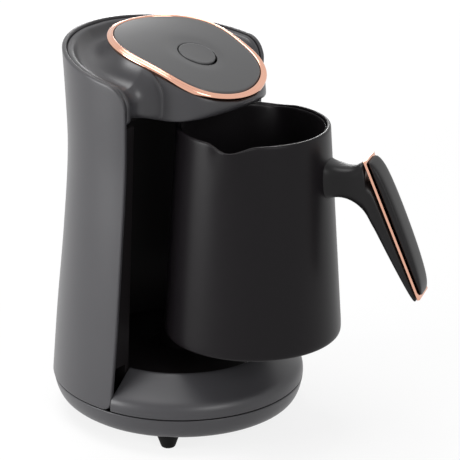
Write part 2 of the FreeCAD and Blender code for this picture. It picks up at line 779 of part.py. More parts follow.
neck_outline = [
    local(30, 96.6), local(44, 96.4), local(50, 96.6), local(55.5, 98.6), grip_point(-0.6, -0.2),
    grip_point(3.5, -0.4), grip_point(5, -2.2), grip_point(12, -2.4), grip_point(15, -0.2),
    grip_point(grip_length + 0.4, -0.2), grip_point(grip_length + 1.8, 0.8),
    grip_point(grip_length + 2.2, -3.6),
    local(67.9, 61.8), local(65.1, 67), local(61.5, 73.4), local(55, 78.4), local(48.7, 79.6),
    local(44, 79.4), local(30, 78.6),
]
neck = handle_slab(neck_outline, half_handle)
neck = neck.cut(Part.makeCone(jug_radius(0, -0.02), jug_radius(jug_height, -0.02), jug_height))
screw_runs = (24.0, 60.0)
SCREW_SHANK = 1.45
for run in screw_runs:
    neck = neck.cut(Part.makeCylinder(SCREW_SHANK + 0.05, 12, grip_point(run, -3.2), outward))
solid("handle_body", on_jug(neck))

BAND = 1.6
band = handle_slab([grip_point(0, 0), grip_point(0, BAND), grip_point(grip_length, BAND),
                    grip_point(grip_length, 0)], half_handle + 0.6)
for run in screw_runs:
    band = band.cut(Part.makeCylinder(SCREW_SHANK + 0.05, 12, grip_point(run, -4), outward))
solid("handle_band", on_jug(band))

COVER = 5.2
cover_outline = [
    grip_point(1.5, BAND + 0.1), grip_point(3, BAND + 2.8), grip_point(10, BAND + COVER - 0.6),
    grip_point(26, BAND + COVER), grip_point(56, BAND + COVER - 0.8), grip_point(70, BAND + 3),
    grip_point(grip_length - 1, BAND + 0.1),
]
outer_grip = handle_slab(cover_outline, half_handle)
handle_screws = []
for run in screw_runs:
    outer_grip = outer_grip.cut(
        Part.makeCylinder(2.7, 2.2, grip_point(run, BAND - 0.1), outward))
    head = Part.makeCylinder(2.6, 1.9, grip_point(run, BAND + 0.05), outward)
    shank = Part.makeCylinder(SCREW_SHANK, 4.6, grip_point(run, BAND + 0.1), outward * -1)
    handle_screws.append(head.fuse(shank).removeSplitter())
solid("handle_grip", on_jug(outer_grip))
solid("handle_screws", on_jug(Part.makeCompound(handle_screws)))

# Check and write every sub-part

doc.recompute()
for item in doc.Objects:
    if "Invalid" in item.State or "Error" in item.State:
        raise SystemExit(f"{item.Label} failed to recompute: {item.State}")
for piece in pieces:
    if piece.Shape.isNull() or not piece.Shape.isValid():
        raise SystemExit(f"{piece.Label} has no valid shape")
    print(f"{piece.Label:24s} solids {len(piece.Shape.Solids)} volume {piece.Shape.Volume:10.1f}")
    piece.Shape.exportStep(f"parts/{piece.Label}.step")
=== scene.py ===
import math
import bpy
from mathutils import Matrix, Vector


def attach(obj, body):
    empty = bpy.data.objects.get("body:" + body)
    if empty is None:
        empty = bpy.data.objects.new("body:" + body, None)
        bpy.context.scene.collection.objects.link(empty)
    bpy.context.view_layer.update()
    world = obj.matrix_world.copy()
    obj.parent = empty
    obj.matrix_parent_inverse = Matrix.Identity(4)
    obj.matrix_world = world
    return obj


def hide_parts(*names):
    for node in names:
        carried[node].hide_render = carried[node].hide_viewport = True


# A small electric coffee maker: a round base, a wrap-round grey casing with a black bay, a head
# with a sloping panel and one button, and a black jug held half out of the bay.
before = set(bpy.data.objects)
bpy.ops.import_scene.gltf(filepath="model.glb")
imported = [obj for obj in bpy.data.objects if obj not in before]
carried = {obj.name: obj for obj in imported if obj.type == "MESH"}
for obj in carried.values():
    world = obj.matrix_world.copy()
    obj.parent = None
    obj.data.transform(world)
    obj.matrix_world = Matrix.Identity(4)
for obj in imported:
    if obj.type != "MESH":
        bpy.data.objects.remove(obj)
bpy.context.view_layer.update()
MM = 0.001


# The casing shell wraps round the back in one moulding of dark grey plastic with a fine spark grain,
# satin and slightly cloudy. It is waisted, slopes along its top edge and has rounded front corners.
# What fixes it inside can't be seen and isn't modelled. Its finish comes first, then its form.

class Value:
    """A value inside a material, so that shader maths reads as plain sums."""

    def __init__(self, finish, socket):
        self.finish = finish
        self.socket = socket

    def maths(self, operation, first, second):
        return self.finish.node("ShaderNodeMath", {"operation": operation}, {0: first, 1: second})

    def __add__(self, other):
        return self.maths("ADD", self, other)

    def __mul__(self, other):
        return self.maths("MULTIPLY", self, other)


class Finish:
    """One finish: a surface shader with its even values, and nodes that vary over the surface."""

    def __init__(self, name, **even):
        self.material = bpy.data.materials.new(name)
        self.material.use_nodes = True
        self.tree = self.material.node_tree
        self.shader = self.tree.nodes["Principled BSDF"]
        for socket, value in even.items():
            self.shader.inputs[socket.replace("_", " ")].default_value = value
        self.place = self.node("ShaderNodeTexCoord", output="Object")

    def join(self, value, socket):
        if isinstance(value, Value):
            self.tree.links.new(value.socket, socket)
        else:
            socket.default_value = value

    def node(self, kind, settings=None, values=None, output=0):
        made = self.tree.nodes.new(kind)
        for setting, value in (settings or {}).items():
            setattr(made, setting, value)
        for socket, value in (values or {}).items():
            self.join(value, made.inputs[socket])
        return Value(self, made.outputs[output])

    def noise(self, scale, detail=2.0):
        return self.node("ShaderNodeTexNoise", values={
            "Vector": self.place, "Scale": scale, "Detail": detail})

    def blend(self, factor, first, second):
        """A colour between two colours."""
        return self.node("ShaderNodeMix", {"data_type": "RGBA"}, {
            0: factor, 6: (*first, 1.0), 7: (*second, 1.0)}, output=2)

    def bump(self, height, depth, edge=0.0):
        """A normal with a relief of the given depth, over edges that look rounded by a radius."""
        values = {"Strength": 1.0, "Distance": depth, "Height": height}
        if edge:
            values["Normal"] = self.node("ShaderNodeBevel", {"samples": 6}, {"Radius": edge})
        return self.node("ShaderNodeBump", values=values)

    def surface(self, **values):
        for socket, value in values.items():
            self.join(value, self.shader.inputs[socket.replace("_", " ")])
        return self.material


CLOUD_SCALE = 28
CLOUD_DETAIL = 3
CLOUD_SHARE = 0.7
COLOUR_SPREAD = 0.08
CLOUD_ROUGHNESS = 0.05
GRAIN_ROUGHNESS = 0.06


def moulded(name, colour, roughness, specular, grain=0.35, relief=0.012, edge=0.6):
    """Moulded plastic: cloudy colour, spark grain of a size in millimetres, rounded edges."""
    finish = Finish(name, Specular_IOR_Level=specular)
    clouds = finish.noise(CLOUD_SCALE, CLOUD_DETAIL)
    specks = finish.noise(1 / (grain * MM))
    dark = [part * (1 - COLOUR_SPREAD) for part in colour]
    pale = [part * (1 + COLOUR_SPREAD) for part in colour]
    evenly = roughness - (CLOUD_ROUGHNESS + GRAIN_ROUGHNESS) / 2
    return finish.surface(
        Base_Color=finish.blend(clouds * CLOUD_SHARE + specks * (1 - CLOUD_SHARE), dark, pale),
        Roughness=clouds * CLOUD_ROUGHNESS + specks * GRAIN_ROUGHNESS + evenly,
        Normal=finish.bump(specks, relief * MM, edge * MM))


casing_plastic = moulded("casing_plastic", (0.040, 0.039, 0.043), 0.33, 0.45)

# Each plan is a height, half a width, and the depth to the front and to the rear.
SHELL_PLANS = [(20.8, 66, 66, 73.6), (60, 63, 63, 70), (105, 60.6, 60.6, 64),
               (150, 59, 59, 59.6), (182, 60, 60, 60), (216, 61.6, 61.6, 61.8)]
SHELL_WALL = 2.4
SHELL_FOOT = 20.8
SHELL_RADIUS = 62
SHELL_EDGE = 0.7
FOOT_CORNER = 5.0
EDGE_LOW = (-3.6, 20.5)
EDGE_LEAN = -7.4 / 157
EDGE_CORNER = 13.0
TOP_SLOPE = math.tan(math.radians(9.3))
TOP_REAR = 207.5
TOP_AT_MIDDLE = TOP_REAR - TOP_SLOPE * SHELL_RADIUS
BEHIND_SHELL = 95
SEARCH_LOW = 150.0
SEARCH_HIGH = 225.0
SEARCH_STEPS = 30
SIDE_CROWDING = 0.1


def casing_plan(height):
    """Half width, front depth and rear depth of the casing at a height, smooth between its plans."""
    last = len(SHELL_PLANS) - 1
    step = max(0, min(last - 1, sum(1 for plan in SHELL_PLANS if plan[0] <= height) - 1))
    first = SHELL_PLANS[step]
    second = SHELL_PLANS[step + 1]
    before = SHELL_PLANS[max(step - 1, 0)]
    after = SHELL_PLANS[min(step + 2, last)]
    run = second[0] - first[0]
    share = (height - first[0]) / run
    sizes = []
    for side in (1, 2, 3):
        leaving = (second[side] - before[side]) / (second[0] - before[0]) * run
        coming = (after[side] - first[side]) / (after[0] - first[0]) * run
        sizes.append(first[side] * (1 + 2 * share) * (1 - share) ** 2
                     + leaving * share * (1 - share) ** 2
                     + second[side] * share ** 2 * (3 - 2 * share)
                     + coming * share ** 2 * (share - 1))
    return sizes


def casing_spot(turn, height, inset=0.0):
    """A place on the casing's plan: half a circle in front and half an ellipse behind."""
    half, front, rear = casing_plan(height)
    depth = rear if math.sin(turn) > 0 else front
    return (half - inset) * math.cos(turn), (depth - inset) * math.sin(turn)


# Seen from the side, the casing's edge line goes up the front, round a corner, and back up the slope.
top_run = (TOP_AT_MIDDLE - EDGE_LOW[1]) / (1 - EDGE_LEAN * TOP_SLOPE)
edge_corner = Vector((EDGE_LOW[0] + EDGE_LEAN * top_run, EDGE_LOW[1] + top_run))
edge_down = (Vector(EDGE_LOW) - edge_corner).normalized()
edge_back = (Vector((BEHIND_SHELL, TOP_AT_MIDDLE + TOP_SLOPE * BEHIND_SHELL)) - edge_corner).normalized()
corner_half = edge_down.angle(edge_back) / 2
corner_reach = EDGE_CORNER / math.tan(corner_half)
arc_low = edge_corner + edge_down * corner_reach
arc_high = edge_corner + edge_back * corner_reach
arc_centre = edge_corner + (edge_down + edge_back).normalized() * (EDGE_CORNER / math.sin(corner_half))


def edge_height(along):
    """Height of the casing's edge line over a place between front and rear."""
    if along >= arc_high.x:
        return arc_high.y + (along - arc_high.x) * edge_back.y / edge_back.x
    reach = max(0.0, EDGE_CORNER ** 2 - (along - arc_centre.x) ** 2)
    return arc_centre.y + math.sqrt(reach)


def shell_turn(share, height):
    """Direction of a place round the shell, from one front edge by the rear to the other."""
    front = casing_plan(height)[1]
    start = math.asin((EDGE_LOW[0] + EDGE_LEAN * (height - EDGE_LOW[1])) / front)
    return start + share * (math.pi - 2 * start)


def shell_top(share):
    """Where a line up the shell meets the edge line."""
    low = SEARCH_LOW
    high = SEARCH_HIGH
    for _ in range(SEARCH_STEPS):
        middle = (low + high) / 2
        if edge_height(casing_spot(shell_turn(share, middle), middle)[1]) > middle:
            low = middle
        else:
            high = middle
    return low


def laid(name, columns, rows, spot):
    """A grid whose points are laid by a formula in millimetres, its seams and poles merged."""
    bpy.ops.object.select_all(action="DESELECT")
    bpy.ops.mesh.primitive_grid_add(x_subdivisions=columns, y_subdivisions=rows, size=2)
    piece = bpy.context.object
    piece.name = name
    for point in piece.data.vertices:
        place = spot((point.co.x + 1) / 2, (point.co.y + 1) / 2)
        point.co = Vector(place) * MM
    bpy.ops.object.mode_set(mode="EDIT")
    bpy.ops.mesh.select_all(action="SELECT")
    bpy.ops.mesh.remove_doubles(threshold=0.002 * MM)
    bpy.ops.mesh.normals_make_consistent(inside=False)
    bpy.ops.object.mode_set(mode="OBJECT")
    return piece


def worked(piece, kind, **settings):
    """Put a modifier on a piece and apply it."""
    bpy.ops.object.select_all(action="DESELECT")
    piece.select_set(True)
    bpy.context.view_layer.objects.active = piece
    work = piece.modifiers.new(kind.lower(), kind)
    for setting, value in settings.items():
        setattr(work, setting, value)
    bpy.ops.object.modifier_apply(modifier=work.name)
    return piece


def finished(piece, material, body, stands_for):
    """Smooth a piece, give it its finish, and put it on its body in place of a CAD node."""
    bpy.ops.object.select_all(action="DESELECT")
    piece.select_set(True)
    bpy.context.view_layer.objects.active = piece
    bpy.ops.object.shade_smooth_by_angle(angle=math.radians(40))
    piece.data.materials.clear()
    piece.data.materials.append(material)
    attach(piece, body)
    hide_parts(stands_for)


def shell_spot(across, up):
    """A point of the shell, its lines closer together towards the front edges."""
    share = across - SIDE_CROWDING * math.sin(2 * math.pi * across)
    top = shell_top(share)
    from_edge = min(share, 1 - share) * math.pi * SHELL_RADIUS
    lift = FOOT_CORNER - math.sqrt(FOOT_CORNER ** 2 - max(0.0, FOOT_CORNER - from_edge) ** 2)
    height = SHELL_FOOT + lift + up * (top - SHELL_FOOT - lift)
    x, y = casing_spot(shell_turn(share, height), height)
    return x, y, height


shell = laid("casing_shell", 120, 28, shell_spot)
worked(shell, "SOLIDIFY", thickness=SHELL_WALL * MM, offset=-1, use_even_offset=True)
worked(shell, "BEVEL", width=SHELL_EDGE * MM, segments=3, limit_method="ANGLE",
       angle_limit=math.radians(50))
worked(shell, "SUBSURF", levels=1, render_levels=1)
finished(shell, casing_plastic, "machine", "outer_shell")


# The lower half of the base is a shallow tray in the same grey plastic, moulded in one piece, that
# draws in towards its underside. Four screws go up through it into the posts of the docking plate.
base_plastic = moulded("base_plastic", (0.044, 0.043, 0.047), 0.36, 0.40)
BASE_RADIUS = 66
BASE_REAR = 73 / BASE_RADIUS
TRAY_WALL = 2.0
TRAY = [(0, 8.25), (30, 8.25), (56, 8.25), (59.2, 8.35), (61, 8.9), (62.3, 10), (63.4, 11.6),
        (64.4, 13.8), (65.2, 16.6), (65.75, 19.3), (65.9, 20.0), (65.6, 20.35), (64.6, 20.4)]


def round_plan(radius, turn):
    """A place on a circle."""
    return radius * math.cos(turn), radius * math.sin(turn)


def base_plan(radius, turn):
    """A place on the base's plan, which is deeper behind than in front."""
    x, y = round_plan(radius, turn)
    return x, y * BASE_REAR if y > 0 else y


def turned(name, profile, segments, plan=round_plan):
    """A turned piece: a profile of radius and height swept round the upright axis."""
    rows = len(profile) - 1

    def spot(around, up):
        radius, height = profile[round(up * rows)]
        return (*plan(radius, 2 * math.pi * around), height)

    return laid(name, segments, rows, spot)


tray = turned("base_tray", TRAY, 96, base_plan)
worked(tray, "SOLIDIFY", thickness=TRAY_WALL * MM, offset=-1)
worked(tray, "SUBSURF", levels=1, render_levels=1)
finished(tray, base_plastic, "machine", "base_lower_cover")


# The upper half of the base is a ring in the same grey plastic that rises in a smooth slope to the
# docking plate. It is cut off behind, where the casing comes down to the tray in its place.
RING_CUT = -3.8
COLLAR = [(66, 20.75), (66, 21.6), (66, 24.0), (65.8, 26.0), (64.8, 28.0), (63.0, 29.6), (60.6, 31.4),
          (55.4, 35.8), (51.4, 39.2), (50.2, 40.2), (49.2, 40.6), (48.85, 39.9), (48.8, 38),
          (48.8, 35.2), (51.0, 35.2), (51.4, 36.6), (60.4, 28.8), (63.2, 25.4), (63.6, 20.75),
          (66, 20.75)]
collar = turned("base_collar", COLLAR, 120)
worked(collar, "SUBSURF", levels=1, render_levels=1)
bpy.ops.object.mode_set(mode="EDIT")
bpy.ops.mesh.select_all(action="SELECT")
bpy.ops.mesh.bisect(plane_co=(0, RING_CUT * MM, 0), plane_no=(0, 1, 0), clear_outer=True, use_fill=True)
bpy.ops.object.mode_set(mode="OBJECT")
finished(collar, base_plastic, "machine", "base_upper_ring")


# The bay behind the jug, the head's underside and the docking plate with its connector are moulded in
# black plastic, dull and finely grained. The seal strips, feet and inlet bush are plain black rubber.

def coat(material, *names):
    """Give CAD pieces a finish."""
    for name in names:
        slots = carried[name].data.materials
        slots.clear()
        slots.append(material)


bay_plastic = moulded("bay_plastic", (0.006, 0.005, 0.0055), 0.5, 0.12)
coat(bay_plastic, "inner_housing", "head_underside", "docking_plate", "base_connector")
seal_rubber = moulded("seal_rubber", (0.004, 0.004, 0.004), 0.7, 0.1)
coat(seal_rubber, "edge_seal", "rubber_feet", "cord_inlet_bush")


# The copper ring round the panel is thin moulded trim, plated in rose copper and polished. It lies
# between the panel and the head wall and follows the slope of the panel.
MARK_ROUGHNESS = 0.05
MARK_RELIEF = 0.0002


def plated(name, colour, roughness):
    """Plated trim or bare metal, bright, with faint polishing marks."""
    finish = Finish(name, Metallic=1.0)
    clouds = finish.noise(60, 3)
    marks = finish.noise(900, 1)
    dark = [part * 0.93 for part in colour]
    return finish.surface(
        Base_Color=finish.blend(clouds, dark, colour),
        Roughness=marks * MARK_ROUGHNESS + (roughness - MARK_ROUGHNESS / 2),
        Normal=finish.bump(marks, MARK_RELIEF * MM))


rose_copper = plated("rose_copper", (0.80, 0.44, 0.32), 0.12)

# The outline is given by its reach from the button's centre in seven directions, rear to front, and
# runs through them as a sum of waves.
HEAD_CENTRE = (0.0, -11.5)
HEAD_RADII = [46.6, 43.8, 39.0, 33.0, 33.1, 31.8, 30.6]
PANEL_LEVEL = 206.3
PANEL_SLOPE = 0.28
PANEL_SAG = 0.00343
TRIM_MIDDLE = 1.8
TRIM = [(0.0, -1.2), (0.05, -0.2), (0.3, 0.15), (0.8, 0.32), (1.4, 0.22), (1.8, -0.1), (1.95, -0.4),
        (2.2, -0.45), (2.6, -0.3), (3.1, -0.5), (3.5, -1.0), (3.6, -1.6), (3.45, -2.3), (3.1, -3.0),
        (2.6, -3.5), (1.4, -3.4), (0.1, -3.2), (0.0, -1.2)]
last_radius = len(HEAD_RADII) - 1
waves = []
for wave in range(len(HEAD_RADII)):
    ends = (HEAD_RADII[0] + HEAD_RADII[last_radius] * math.cos(math.pi * wave)) / 2
    inner = sum(HEAD_RADII[k] * math.cos(math.pi * wave * k / last_radius)
                for k in range(1, last_radius))
    waves.append((ends + inner) / (last_radius if wave in (0, last_radius) else last_radius / 2))


def head_reach(turn):
    """Distance from the button's centre to the panel's outline, in a direction."""
    from_rear = math.pi / 2 - turn
    return sum(size * math.cos(wave * from_rear) for wave, size in enumerate(waves))


def head_spot(turn, offset=0.0):
    """A place on the panel's outline, or at a distance outside it."""
    reach = head_reach(turn) + offset
    return HEAD_CENTRE[0] + reach * math.cos(turn), HEAD_CENTRE[1] + reach * math.sin(turn)


def panel_height(along):
    """Height of the sloping, slightly domed panel at a place between front and rear."""
    return PANEL_LEVEL + PANEL_SLOPE * along - PANEL_SAG * along ** 2


def trim_spot(around, over):
    """A point of the ring: its profile carried round the panel's outline."""
    turn = 2 * math.pi * around
    offset, rise = TRIM[round(over * (len(TRIM) - 1))]
    x, y = head_spot(turn, offset)
    return x, y, panel_height(head_spot(turn, TRIM_MIDDLE)[1]) + rise


trim = laid("panel_trim", 144, len(TRIM) - 1, trim_spot)
worked(trim, "SUBSURF", levels=1, render_levels=1)
finished(trim, rose_copper, "machine", "copper_ring")


# The sloping panel is a smooth satin moulding in a slightly lighter grey, set inside the copper ring
# and pierced by a round hole for the button, whose rim is softly rounded.
panel_plastic = moulded("panel_plastic", (0.070, 0.070, 0.072), 0.32, 0.45, relief=0.006, edge=0.4)
BUTTON = 10.0
BUTTON_GAP = 0.32
PANEL_CLEAR = 0.12
PANEL_RINGS = [(0.0, -2.4), (0.0, -1.0), (0.0, -0.55), (0.012, -0.42), (0.05, -0.38), (0.1, -0.28),
               (0.16, -0.14), (0.24, -0.03), (0.35, 0), (0.5, 0), (0.65, 0), (0.8, 0), (0.92, 0),
               (0.985, 0), (1.0, -0.12), (1.0, -1.9)]


def panel_spot(around, over):
    """A point of the panel, at a share of the way from the button's hole to the outline."""
    turn = 2 * math.pi * around
    share, rise = PANEL_RINGS[round(over * (len(PANEL_RINGS) - 1))]
    reach = BUTTON + BUTTON_GAP + share * (head_reach(turn) - PANEL_CLEAR - BUTTON - BUTTON_GAP)
    y = HEAD_CENTRE[1] + reach * math.sin(turn)
    return HEAD_CENTRE[0] + reach * math.cos(turn), y, panel_height(y) + rise


panel = laid("sloping_panel", 144, len(PANEL_RINGS) - 1, panel_spot)
worked(panel, "SUBSURF", levels=1, render_levels=1)
finished(panel, panel_plastic, "machine", "control_panel")


# The start button is a round key in the panel's plastic, with a shallow dish and a soft rim. Its
# plunger goes down through the hole to the switch, and its top follows the dome of the panel.
button_slope = math.atan(PANEL_SLOPE - 2 * PANEL_SAG * HEAD_CENTRE[1])
KEY_TOP_DEPTH = 1.2
KEY = [(0.0, -0.25), (5.0, -0.22), (8.2, -0.1), (9.2, 0.02), (9.7, -0.08), (9.92, -0.4), (9.95, -1.0),
       (9.95, -2.9), (3.0, -3.0), (3.0, -6.9), (0.0, -6.9)]
key = turned("start_key", KEY, 72)
worked(key, "SUBSURF", levels=2, render_levels=2)
for point in key.data.vertices:
    if point.co.z > -KEY_TOP_DEPTH * MM:
        point.co.z -= PANEL_SAG * (point.co.y / MM) ** 2 * MM
key_seat = Vector((0, HEAD_CENTRE[1], panel_height(HEAD_CENTRE[1]))) * MM
key.data.transform(Matrix.Translation(key_seat) @ Matrix.Rotation(button_slope, 4, "X"))
finished(key, panel_plastic, "button", "start_button")


# The head housing is one grey moulding. Its wall goes down from the copper ring and turns in under
# the head, and its dished deck joins that wall to the lip inside the casing's sloping top edge.
WALL_THICKNESS = 2.2
WALL_OUT = 3.2
BELLY_LEVEL = 175
BELLY_RISE = 10
BELLY_START = -16
BELLY_RUN = 40
BELLY_CURVE = 1.9
WALL_RINGS = [(2.2, "top", -3.2), (2.6, "top", -3.6), (2.8, "mix", 0.5), (3.1, "low", 4.0),
              (3.2, "low", 1.8), (3.0, "low", 0.7), (2.4, "low", 0.12), (1.4, "low", 0.02),
              (0.75, "low", 0.02)]


def belly_height(along):
    """The underside of the head: level, then sweeping up to the front."""
    return BELLY_LEVEL + BELLY_RISE * (max(0.0, BELLY_START - along) / BELLY_RUN) ** BELLY_CURVE


def wall_spot(around, over):
    """A point of the head's wall, measured from its top line, its low line or halfway."""
    turn = 2 * math.pi * around
    offset, kind, rise = WALL_RINGS[round(over * (len(WALL_RINGS) - 1))]
    x, y = head_spot(turn, offset)
    top = panel_height(head_spot(turn, TRIM_MIDDLE)[1])
    low = belly_height(head_spot(turn, WALL_OUT)[1])
    heights = {"top": top + rise, "low": low + rise, "mix": (top + low) / 2}
    return x, y, heights[kind]


head = laid("head_wall", 144, len(WALL_RINGS) - 1, wall_spot)
worked(head, "SOLIDIFY", thickness=WALL_THICKNESS * MM, offset=-1)
worked(head, "SUBSURF", levels=1, render_levels=1)

# The deck runs inwards from the edge line in rings of a share of the way and a depth below it.
DECK_INSETS = [(0.0, 2.4), (0.0, 1.1), (0.015, 0.7), (0.05, 0.5), (0.11, 0.55), (0.155, 0.85),
               (0.19, 1.8), (0.25, 3.4), (0.33, 4.8), (0.43, 5.6), (0.54, 5.7), (0.65, 5.1),
               (0.75, 3.9), (0.84, 2.0), (0.91, -0.4), (0.96, -2.8), (0.985, -4.6), (1.0, -6.5)]
DECK_THICKNESS = 1.6
DECK_ROWS = 30
CORNER_ROWS = 10
FRONT_ROWS = 6
END_ROWS = 2
END_DROP = 1.6
RAIL_LEVEL = 200
RAIL_END = 175.3
DECK_MEETS_WALL = 2.9
LEAST_RUN = 0.2
LIP_INSET = SHELL_WALL + 0.35
deck_half = DECK_ROWS + CORNER_ROWS + FRONT_ROWS


def deck_rail(step):
    """A place on the edge line of one side: its profile point, the outward normal, and its blend."""
    if step <= DECK_ROWS:
        turn_end = math.asin(arc_high.x / casing_plan(RAIL_LEVEL)[1])
        turn = math.pi / 2 + (turn_end - math.pi / 2) * step / DECK_ROWS
        y = max(casing_spot(turn, RAIL_LEVEL, LIP_INSET)[1], arc_high.x)
        return Vector((y, edge_height(y))), Vector((-edge_back.y, edge_back.x)), 1.0
    if step <= DECK_ROWS + CORNER_ROWS:
        share = (step - DECK_ROWS) / CORNER_ROWS
        high = math.atan2(arc_high.y - arc_centre.y, arc_high.x - arc_centre.x)
        low = math.atan2(arc_low.y - arc_centre.y, arc_low.x - arc_centre.x)
        low += 2 * math.pi if low < 0 else 0
        turn = high + (low - high) * share
        normal = Vector((math.cos(turn), math.sin(turn)))
        return arc_centre + normal * EDGE_CORNER, normal, (1 - share) ** 2
    share = (step - DECK_ROWS - CORNER_ROWS) / FRONT_ROWS
    end = arc_low + edge_down * ((arc_low.y - RAIL_END) / -edge_down.y)
    return arc_low.lerp(end, share), Vector((edge_down.y, -edge_down.x)), 0.0


def deck_spot(around, over):
    """A point of the deck, between the edge line and the head's wall."""
    place = round(around * 2 * deck_half) - deck_half
    side = -1 if place < 0 else 1
    rail, normal, follow = deck_rail(abs(place))
    share, inset = DECK_INSETS[round(over * (len(DECK_INSETS) - 1))]
    half, front, rear = casing_plan(rail.y)
    depth = (rear if rail.x > 0 else front) - LIP_INSET
    x = (half - LIP_INSET) * math.sqrt(max(0.0, 1 - (rail.x / depth) ** 2))
    turn = math.atan2(rail.x - HEAD_CENTRE[1], x - HEAD_CENTRE[0])
    wall_x, wall_y = head_spot(turn, DECK_MEETS_WALL)
    tangent = Vector((normal.y, -normal.x))
    shift = (wall_y - rail.x) / max(tangent.x, LEAST_RUN) * share * follow
    inset += max(0.0, abs(place) - deck_half + END_ROWS) * END_DROP
    spot = rail + tangent * shift - normal * inset
    return side * (x + (wall_x - x) * share), spot.x, spot.y


deck = laid("head_deck", 2 * deck_half, len(DECK_INSETS) - 1, deck_spot)
worked(deck, "SOLIDIFY", thickness=DECK_THICKNESS * MM, offset=-1)
worked(deck, "SUBSURF", levels=1, render_levels=1)
bpy.ops.object.select_all(action="DESELECT")
deck.select_set(True)
head.select_set(True)
bpy.context.view_layer.objects.active = head
bpy.ops.object.join()
finished(head, casing_plastic, "machine", "head_housing")


# The jug's jacket is a conical shell with a black surface, satin and almost smooth. Its rim is
# rounded over and drawn out into a pouring lip on either side.
jug_coating = moulded("jug_coating", (0.006, 0.005, 0.006), 0.34, 0.14, grain=0.25, relief=0.008,
                      edge=0.5)
JUG_HEIGHT = 113.5
JUG_FOOT = 47.0
JUG_DRAW = 7.2
JUG_FORWARD = -47.7
JUG_LIFT = 57.7
JUG_TURN = 19.2
SPOUT_REACH = 5.2
SPOUT_LOW = 84.0
SPOUT_HALF = math.radians(22)
SPOUT_FLARE = 1.25
SPOUT_GROWTH = 1.6
SPOUT_DIP = 2.5
DIP_LOW = 98
WALL_HEIGHTS = [3.5, 10, 20, 32, 44, 56, 68, 78, 84, 89, 94, 99, 103, 107, 110]
JACKET = ([(2.4, 3.0), (2.5, 0.7), (2.1, 0.1), (1.0, 0.35), (0.25, 1.4)]
          + [(0, height) for height in WALL_HEIGHTS]
          + [(0, 112.0), (0.05, 112.9), (0.4, 113.4), (1.0, 113.5), (1.7, 113.4), (2.0, 112.8)]
          + [(2.0, height) for height in (110, 103, 94, 84, 56, 20, 6)] + [(2.4, 3.0)])
jug_place = (Matrix.Translation(Vector((0, JUG_FORWARD, JUG_LIFT)) * MM)
             @ Matrix.Rotation(math.radians(JUG_TURN), 4, "Z"))


def jug_wall(height):
    """The jug's radius at a height, without its lips."""
    return JUG_FOOT - JUG_DRAW * height / JUG_HEIGHT


def jug_plan(inset, height, turn):
    """The jug's round plan with a pouring lip on both sides."""
    off = abs((turn + math.pi / 2) % math.pi - math.pi / 2)
    lip = (0.5 + 0.5 * math.cos(math.pi * min(1.0, off / SPOUT_HALF))) ** SPOUT_FLARE
    grow = max(0.0, (height - SPOUT_LOW) / (JUG_HEIGHT - SPOUT_LOW)) ** SPOUT_GROWTH
    reach = jug_wall(height) - inset + SPOUT_REACH * lip * grow
    dip = SPOUT_DIP * lip * max(0.0, (height - DIP_LOW) / (JUG_HEIGHT - DIP_LOW)) ** 2
    return reach * math.cos(turn), reach * math.sin(turn), height - dip


def jacket_spot(around, up):
    """A point of the jacket: outside from foot to rim, over the rim, and down inside."""
    inset, height = JACKET[round(up * (len(JACKET) - 1))]
    return jug_plan(inset, height, 2 * math.pi * around)


jacket = laid("jug_body", 144, len(JACKET) - 1, jacket_spot)
worked(jacket, "SUBSURF", levels=1, render_levels=1)
jacket.data.transform(jug_place)
finished(jacket, jug_coating, "jug", "jug_jacket")


# The inner pot lines the jug to just under its rim and has a flat floor over the heater. It is taken
# to be drawn from sheet and coated in black, a little rougher than the jacket.
pot_coating = moulded("pot_coating", (0.008, 0.007, 0.008), 0.4, 0.2, grain=0.4, relief=0.01, edge=0.4)
POT_SHEET = 0.8
POT = ([(2.35, height) for height in (112.6, 110, 107, 103, 99, 94, 89, 84, 70, 50, 34, 28)]
       + [(2.8, 25.2), (4.2, 23.2), (7, 22.4), (14, 22.3), (30, 22.3), (45.55, 22.3)])


def pot_spot(around, up):
    """A point of the pot, from the rim down the wall and over the floor to its middle."""
    inset, height = POT[round(up * (len(POT) - 1))]
    x, y, z = jug_plan(inset, height, 2 * math.pi * around)
    return (x, y, z) if up < 1 else (0, 0, z)


pot = laid("jug_liner", 144, len(POT) - 1, pot_spot)
worked(pot, "SOLIDIFY", thickness=POT_SHEET * MM, offset=-1)
worked(pot, "SUBSURF", levels=1, render_levels=1)
pot.data.transform(jug_place)
finished(pot, pot_coating, "jug", "jug_inner_pot")


# The handle body is one moulding in black plastic, like the jug's base cover and socket. A waisted
# neck comes off the jug's wall and flares into a long leg that slants down and away from it. How it
# is fixed to the wall can't be seen and isn't modelled.
handle_plastic = moulded("handle_plastic", (0.008, 0.0075, 0.008), 0.36, 0.2, grain=0.25, relief=0.008,
                         edge=0.8)
coat(handle_plastic, "jug_base_cover", "jug_socket")
GRIP_TOP = Vector((60.3, 101.5))
GRIP_TIP = Vector((90.6, 30.0))
grip_run = (GRIP_TIP - GRIP_TOP).normalized()
grip_out = Vector((-grip_run.y, grip_run.x))
grip_length = (GRIP_TIP - GRIP_TOP).length


def grip_spot(run, out):
    """A place in the handle's plane: a distance down the grip's face line, and one out from it."""
    return GRIP_TOP + grip_run * run + grip_out * out


